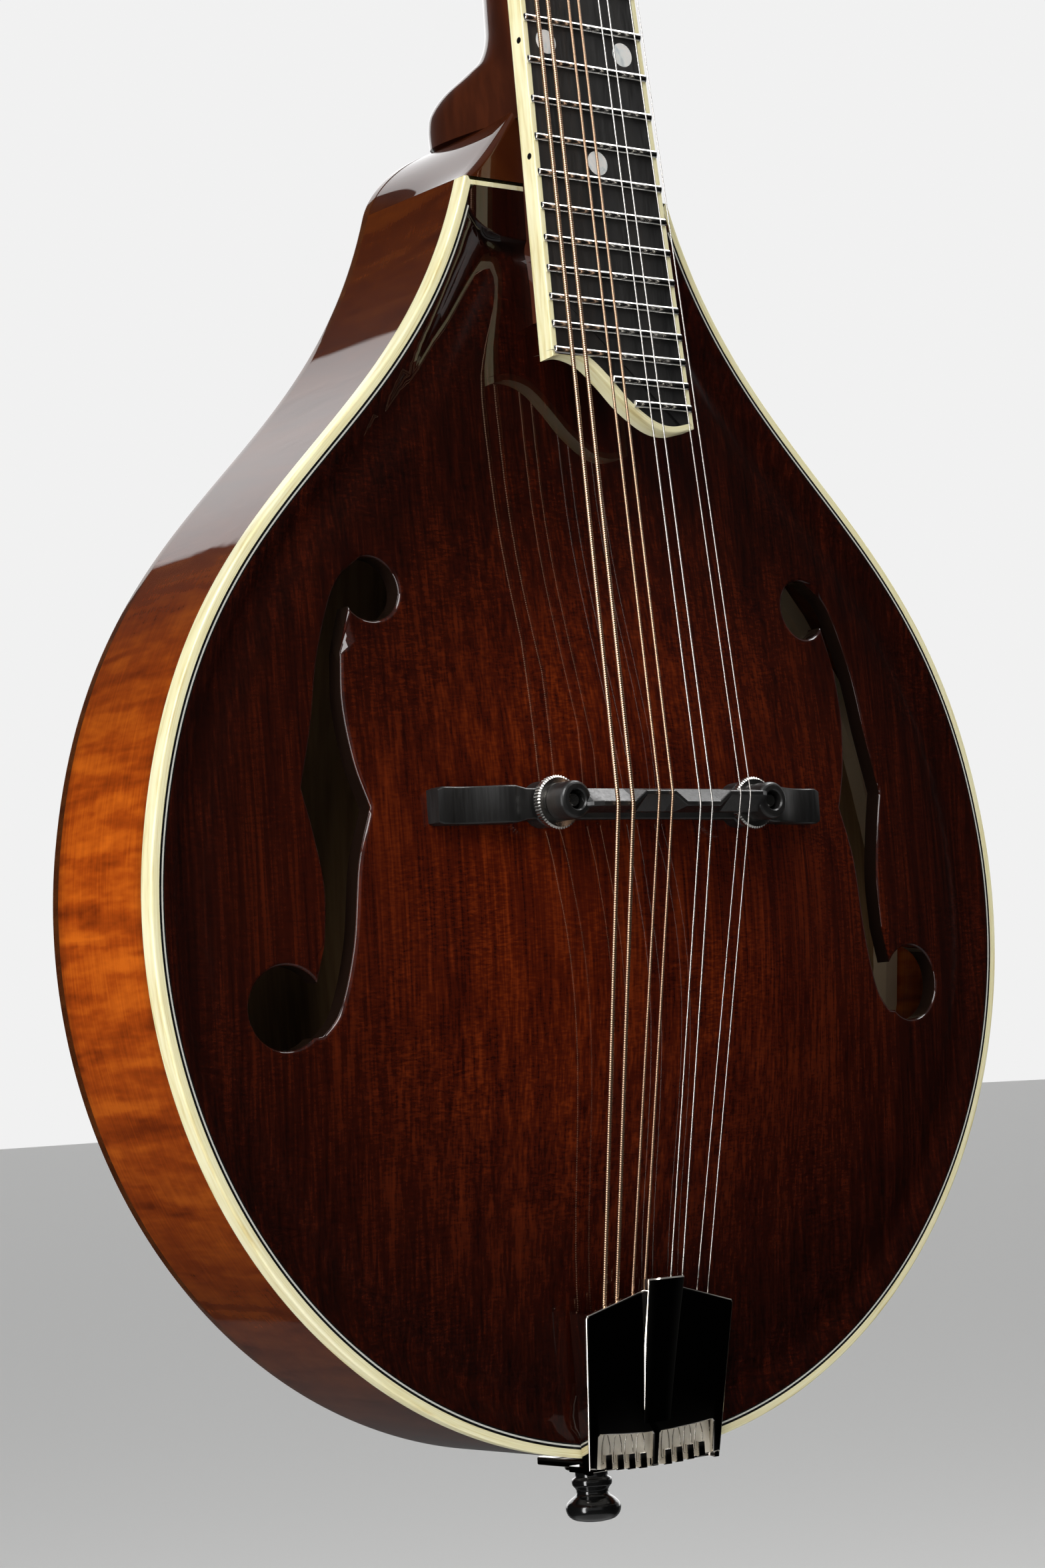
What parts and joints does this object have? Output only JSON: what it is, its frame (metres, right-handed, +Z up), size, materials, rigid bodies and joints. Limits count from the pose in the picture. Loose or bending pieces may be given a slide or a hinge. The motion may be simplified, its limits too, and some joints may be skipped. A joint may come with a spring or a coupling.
{
  "type": "mandolin",
  "caption": "Carved-top string instrument with paired strings, a teardrop sound box, f-shaped sound holes, an adjustable bridge and geared tuners.",
  "frame": {"origin": "tail end of the rim on the centre line, halfway through the rim's depth, where the end pin sits", "axes": "+Z up the neck, +X towards the treble side, the face looks towards -Y"},
  "size_m": [0.2546, 0.1033, 0.6719],
  "materials": {
    "top_wood": "red-brown sunburst over spruce, high gloss lacquer",
    "side_wood": "flamed maple, amber brown, high gloss lacquer",
    "raw_wood": "bare spruce and willow",
    "neck_wood": "dark red-brown maple, high gloss lacquer",
    "board_ebony": "oiled ebony, satin",
    "bridge_ebony": "polished ebony, satin",
    "black_gloss": "polished black",
    "ivoroid": "grained cream celluloid, gloss",
    "bone": "polished bone",
    "nickel": "bright nickel plate",
    "steel": "plain steel bar",
    "button": "pearloid button on a nickel shaft",
    "bronze_string": "phosphor bronze winding",
    "steel_string": "bright plain steel",
    "fret_metal": "polished nickel silver",
    "pearl": "mother of pearl",
    "black_line": "black purfling line and side dots"
  },
  "bodies": {
    "root": {"back_plate": "side_wood", "body_binding": "ivoroid", "bridge_base": "bridge_ebony", "bridge_post_bass": "nickel", "bridge_post_treble": "nickel", "end_pin": "black_gloss", "fingerboard": "board_ebony", "fingerboard_binding": "ivoroid", "fingerboard_riser": "neck_wood", "head_block": "neck_wood", "headstock_overlay": "board_ebony", "lining_back_bass": "raw_wood", "lining_back_treble": "raw_wood", "lining_top_bass": "raw_wood", "lining_top_treble": "raw_wood", "neck": "neck_wood", "nut": "bone", "rib_bass": "side_wood", "rib_treble": "side_wood", "string_a1": "steel_string", "string_a2": "steel_string", "string_d1": "bronze_string", "string_d2": "bronze_string", "string_e1": "steel_string", "string_e2": "steel_string", "string_g1": "bronze_string", "string_g2": "bronze_string", "tail_block": "raw_wood", "tailpiece": "nickel", "tailpiece_screw_bass": "nickel", "tailpiece_screw_treble": "nickel", "tone_bar_bass": "raw_wood", "tone_bar_treble": "raw_wood", "top_plate": "top_wood", "truss_rod": "steel", "truss_rod_cover": "black_gloss", "tuner_plate_bass": "nickel", "tuner_plate_treble": "nickel"},
    "saddle": {"bridge_saddle": "bridge_ebony"},
    "wheel_bass": {"thumbwheel_bass": "nickel"},
    "wheel_treble": {"thumbwheel_treble": "nickel"},
    "knob_bass_1": {"tuner_knob_bass_1": "button"},
    "knob_bass_2": {"tuner_knob_bass_2": "button"},
    "knob_bass_3": {"tuner_knob_bass_3": "button"},
    "knob_bass_4": {"tuner_knob_bass_4": "button"},
    "knob_treble_1": {"tuner_knob_treble_1": "button"},
    "knob_treble_2": {"tuner_knob_treble_2": "button"},
    "knob_treble_3": {"tuner_knob_treble_3": "button"},
    "knob_treble_4": {"tuner_knob_treble_4": "button"},
    "post_bass_1": {"tuner_post_bass_1": "nickel"},
    "post_bass_2": {"tuner_post_bass_2": "nickel"},
    "post_bass_3": {"tuner_post_bass_3": "nickel"},
    "post_bass_4": {"tuner_post_bass_4": "nickel"},
    "post_treble_1": {"tuner_post_treble_1": "nickel"},
    "post_treble_2": {"tuner_post_treble_2": "nickel"},
    "post_treble_3": {"tuner_post_treble_3": "nickel"},
    "post_treble_4": {"tuner_post_treble_4": "nickel"}
  },
  "joints": [
    {"name": "saddle_height", "type": "slide", "parent": "root", "child": "saddle", "axis": [0, -1, 0], "range_m": [-0.001, 0]},
    {"name": "wheel_bass_turn", "type": "hinge", "parent": "saddle", "child": "wheel_bass", "pos_m": [-0.0297, -0.04025, 0.1514], "axis": [0, -1, 0], "range_deg": [-451, 0]},
    {"name": "wheel_treble_turn", "type": "hinge", "parent": "saddle", "child": "wheel_treble", "pos_m": [0.0297, -0.04025, 0.1514], "axis": [0, -1, 0], "range_deg": [-451, 0]},
    {"name": "knob_bass_1_turn", "type": "hinge", "parent": "root", "child": "knob_bass_1", "pos_m": [-0.015, 0.01694, 0.5404], "axis": [1, 0, 0], "continuous": true},
    {"name": "post_bass_1_turn", "type": "hinge", "parent": "root", "child": "post_bass_1", "pos_m": [-0.015, 0.01484, 0.53446], "axis": [0, 0.9429, -0.3331], "continuous": true},
    {"name": "knob_bass_2_turn", "type": "hinge", "parent": "root", "child": "knob_bass_2", "pos_m": [-0.015, 0.0246, 0.56208], "axis": [1, 0, 0], "continuous": true},
    {"name": "post_bass_2_turn", "type": "hinge", "parent": "root", "child": "post_bass_2", "pos_m": [-0.015, 0.0225, 0.55615], "axis": [0, 0.9429, -0.3331], "continuous": true},
    {"name": "knob_bass_3_turn", "type": "hinge", "parent": "root", "child": "knob_bass_3", "pos_m": [-0.015, 0.03226, 0.58377], "axis": [1, 0, 0], "continuous": true},
    {"name": "post_bass_3_turn", "type": "hinge", "parent": "root", "child": "post_bass_3", "pos_m": [-0.015, 0.03016, 0.57783], "axis": [0, 0.9429, -0.3331], "continuous": true},
    {"name": "knob_bass_4_turn", "type": "hinge", "parent": "root", "child": "knob_bass_4", "pos_m": [-0.015, 0.03992, 0.60546], "axis": [1, 0, 0], "continuous": true},
    {"name": "post_bass_4_turn", "type": "hinge", "parent": "root", "child": "post_bass_4", "pos_m": [-0.015, 0.03782, 0.59952], "axis": [0, 0.9429, -0.3331], "continuous": true},
    {"name": "knob_treble_1_turn", "type": "hinge", "parent": "root", "child": "knob_treble_1", "pos_m": [0.015, 0.01694, 0.5404], "axis": [1, 0, 0], "continuous": true},
    {"name": "post_treble_1_turn", "type": "hinge", "parent": "root", "child": "post_treble_1", "pos_m": [0.015, 0.01484, 0.53446], "axis": [0, 0.9429, -0.3331], "continuous": true},
    {"name": "knob_treble_2_turn", "type": "hinge", "parent": "root", "child": "knob_treble_2", "pos_m": [0.015, 0.0246, 0.56208], "axis": [1, 0, 0], "continuous": true},
    {"name": "post_treble_2_turn", "type": "hinge", "parent": "root", "child": "post_treble_2", "pos_m": [0.015, 0.0225, 0.55615], "axis": [0, 0.9429, -0.3331], "continuous": true},
    {"name": "knob_treble_3_turn", "type": "hinge", "parent": "root", "child": "knob_treble_3", "pos_m": [0.015, 0.03226, 0.58377], "axis": [1, 0, 0], "continuous": true},
    {"name": "post_treble_3_turn", "type": "hinge", "parent": "root", "child": "post_treble_3", "pos_m": [0.015, 0.03016, 0.57783], "axis": [0, 0.9429, -0.3331], "continuous": true},
    {"name": "knob_treble_4_turn", "type": "hinge", "parent": "root", "child": "knob_treble_4", "pos_m": [0.015, 0.03992, 0.60546], "axis": [1, 0, 0], "continuous": true},
    {"name": "post_treble_4_turn", "type": "hinge", "parent": "root", "child": "post_treble_4", "pos_m": [0.015, 0.03782, 0.59952], "axis": [0, 0.9429, -0.3331], "continuous": true}
  ],
  "couplings": [
    {"joint": "wheel_bass_turn", "follows": "saddle_height", "rad_per_m": 7854},
    {"joint": "wheel_treble_turn", "follows": "saddle_height", "rad_per_m": 7854},
    {"joint": "post_bass_1_turn", "follows": "knob_bass_1_turn", "ratio": 0.071429},
    {"joint": "post_bass_2_turn", "follows": "knob_bass_2_turn", "ratio": 0.071429},
    {"joint": "post_bass_3_turn", "follows": "knob_bass_3_turn", "ratio": 0.071429},
    {"joint": "post_bass_4_turn", "follows": "knob_bass_4_turn", "ratio": 0.071429},
    {"joint": "post_treble_1_turn", "follows": "knob_treble_1_turn", "ratio": 0.071429},
    {"joint": "post_treble_2_turn", "follows": "knob_treble_2_turn", "ratio": 0.071429},
    {"joint": "post_treble_3_turn", "follows": "knob_treble_3_turn", "ratio": 0.071429},
    {"joint": "post_treble_4_turn", "follows": "knob_treble_4_turn", "ratio": 0.071429}
  ]
}
